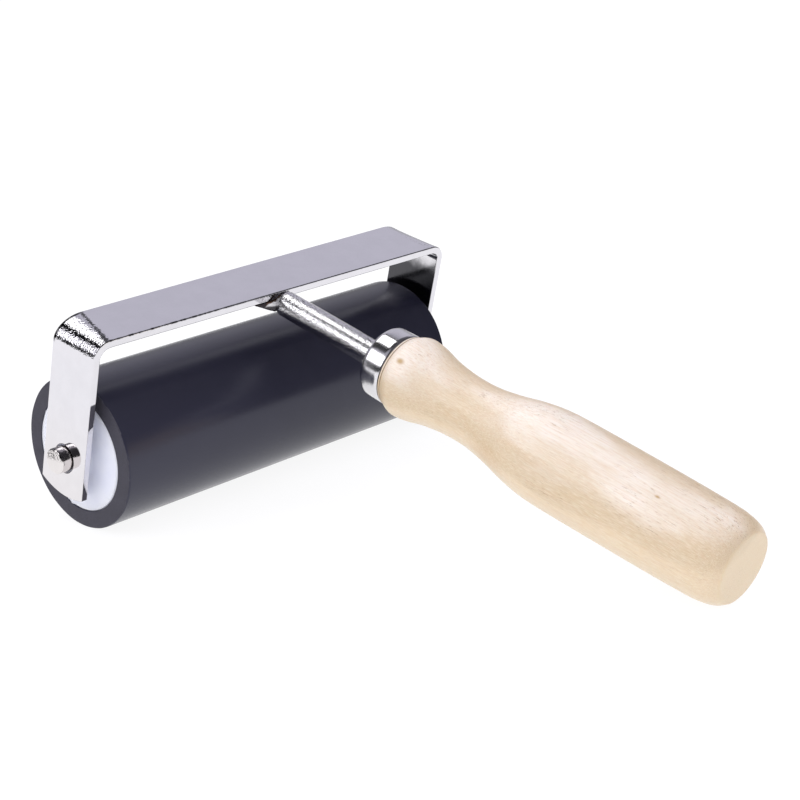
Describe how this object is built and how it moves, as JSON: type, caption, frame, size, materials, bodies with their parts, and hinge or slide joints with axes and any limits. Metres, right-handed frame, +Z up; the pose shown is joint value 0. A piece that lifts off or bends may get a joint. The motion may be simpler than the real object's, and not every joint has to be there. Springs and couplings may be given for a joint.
{
  "type": "rubber brayer",
  "caption": "Hand brayer for rolling out ink: rubber roller on an axle in a bent steel strap yoke, round steel stem, metal ferrule and turned wooden handle.",
  "frame": {"origin": "middle of the footprint, at bench level", "axes": "+Z up, X along the axle with the left end at -X, handle pointing to -Y and down to the bench"},
  "size_m": [0.1134, 0.1542, 0.0482],
  "materials": {
    "rubber": "smooth matt black rubber with a faint sheen",
    "core_plastic": "moulded white plastic, satin",
    "plated_steel": "bright nickel-like plating over drawn steel, with fine draw lines",
    "weld_metal": "plated weld metal, lumpy and duller than the strap",
    "wood": "pale close-grained hardwood under a thin clear satin coat"
  },
  "bodies": {
    "frame": {"yoke": "plated_steel", "weld_bead": "weld_metal", "stem": "plated_steel", "ferrule": "plated_steel", "handle": "wood"},
    "roller": {"rubber_sleeve": "rubber", "core_tube": "core_plastic", "end_plug_left": "core_plastic", "end_plug_right": "core_plastic", "axle": "plated_steel"}
  },
  "joints": [
    {"name": "roller_spin", "type": "hinge", "parent": "frame", "child": "roller", "pos_m": [0, 0.06013, 0.017], "axis": [1, 0, 0], "continuous": true}
  ]
}
